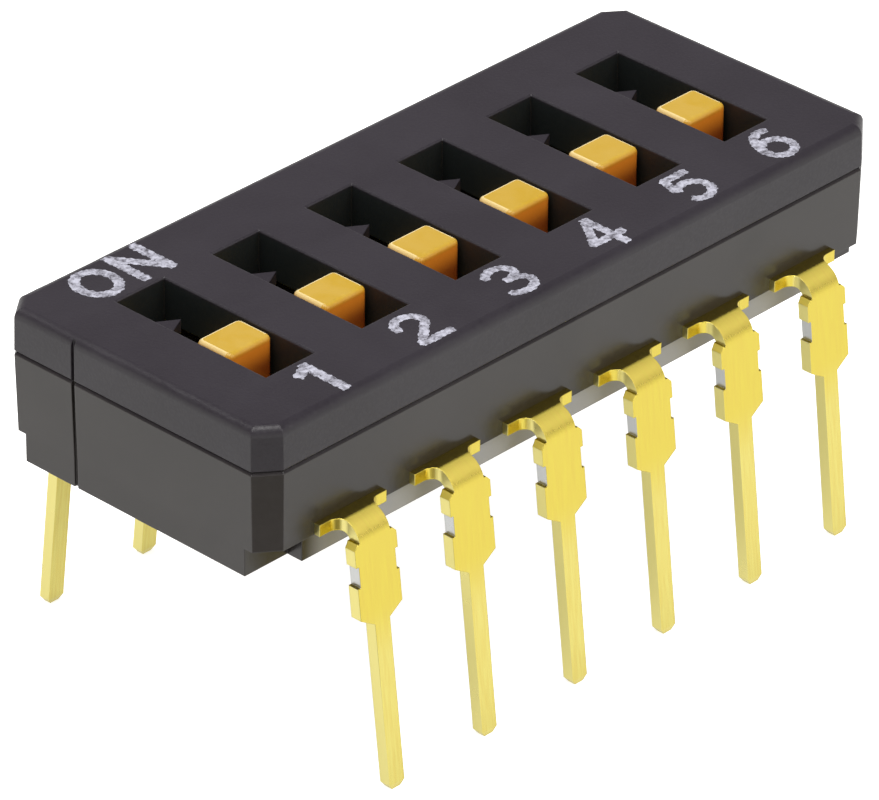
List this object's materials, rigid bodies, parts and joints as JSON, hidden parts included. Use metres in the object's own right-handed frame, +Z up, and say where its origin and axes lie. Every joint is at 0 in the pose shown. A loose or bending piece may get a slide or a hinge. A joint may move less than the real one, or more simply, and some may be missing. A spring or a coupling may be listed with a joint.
{
  "type": "slide dip switch",
  "caption": "Black slide DIP switch for a circuit board: orange sliders level with the cover, printed numbers, and two rows of bent gold terminals.",
  "frame": {"origin": "centre of the housing's underside", "axes": "+X from switch 1 to switch 6, +Y from the numbers' side to the ON side, +Z up out of the cover"},
  "size_m": [0.017, 0.0096, 0.0082],
  "materials": {
    "housing": "black moulded plastic, fine satin grain on top and glossier walls",
    "slider": "orange moulded plastic",
    "terminal": "copper alloy sheet plated with bright gold",
    "contact": "copper alloy spring sheet plated with gold"
  },
  "bodies": {
    "housing": {"cover": "housing", "base": "housing", "terminal_1": "terminal", "terminal_2": "terminal", "terminal_3": "terminal", "terminal_4": "terminal", "terminal_5": "terminal", "terminal_6": "terminal", "terminal_7": "terminal", "terminal_8": "terminal", "terminal_9": "terminal", "terminal_10": "terminal", "terminal_11": "terminal", "terminal_12": "terminal"},
    "switch_1": {"slider_1": "slider", "contact_1": "contact"},
    "switch_2": {"slider_2": "slider", "contact_2": "contact"},
    "switch_3": {"slider_3": "slider", "contact_3": "contact"},
    "switch_4": {"slider_4": "slider", "contact_4": "contact"},
    "switch_5": {"slider_5": "slider", "contact_5": "contact"},
    "switch_6": {"slider_6": "slider", "contact_6": "contact"}
  },
  "joints": [
    {"name": "slide_1", "type": "slide", "parent": "housing", "child": "switch_1", "axis": [0, 1, 0], "range_m": [0, 0.00105]},
    {"name": "slide_2", "type": "slide", "parent": "housing", "child": "switch_2", "axis": [0, 1, 0], "range_m": [0, 0.00105]},
    {"name": "slide_3", "type": "slide", "parent": "housing", "child": "switch_3", "axis": [0, 1, 0], "range_m": [0, 0.00105]},
    {"name": "slide_4", "type": "slide", "parent": "housing", "child": "switch_4", "axis": [0, 1, 0], "range_m": [0, 0.00105]},
    {"name": "slide_5", "type": "slide", "parent": "housing", "child": "switch_5", "axis": [0, 1, 0], "range_m": [0, 0.00105]},
    {"name": "slide_6", "type": "slide", "parent": "housing", "child": "switch_6", "axis": [0, 1, 0], "range_m": [0, 0.00105]}
  ]
}
